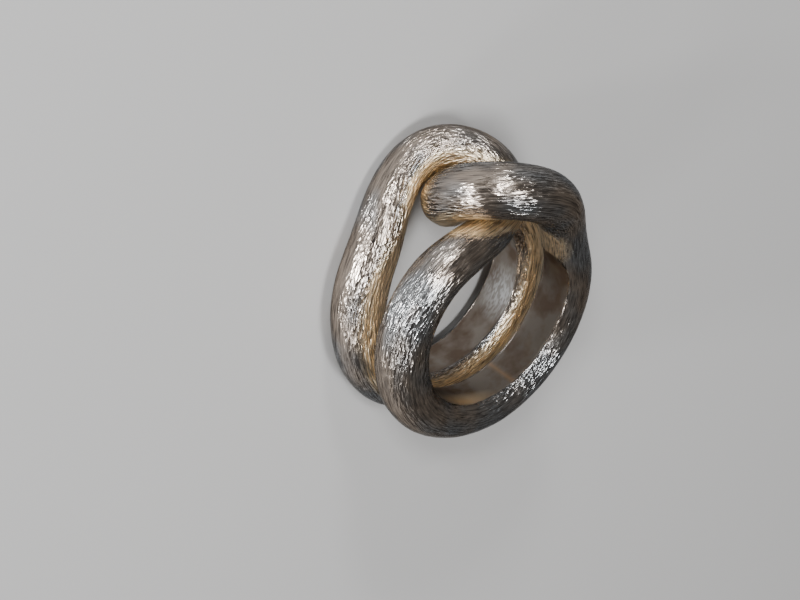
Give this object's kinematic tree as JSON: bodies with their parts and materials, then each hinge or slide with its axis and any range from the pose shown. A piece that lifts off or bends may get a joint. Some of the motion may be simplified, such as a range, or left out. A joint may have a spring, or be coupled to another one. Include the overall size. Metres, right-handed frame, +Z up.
{
  "type": "knot ring",
  "caption": "Finger ring of one thick round silver wire, folded double round the finger and hooked through itself in a knot on the front.",
  "frame": {"origin": "centre of the finger hole, halfway between the two bands", "axes": "+Z up as the ring lies on its side, the knot towards -Y, the upper band being the one nearer the viewer in the picture; the hole's axis leans 5.1 degrees from +Z, because the knot props the front up"},
  "size_m": [0.0269, 0.0321, 0.0167],
  "materials": {
    "silver": "forged and brushed sterling silver: fine strokes along the wire outside, satin in the turned finger hole, faint warm tarnish in the creases"
  },
  "bodies": {
    "root": {"knot_wire": "silver"}
  },
  "joints": []
}
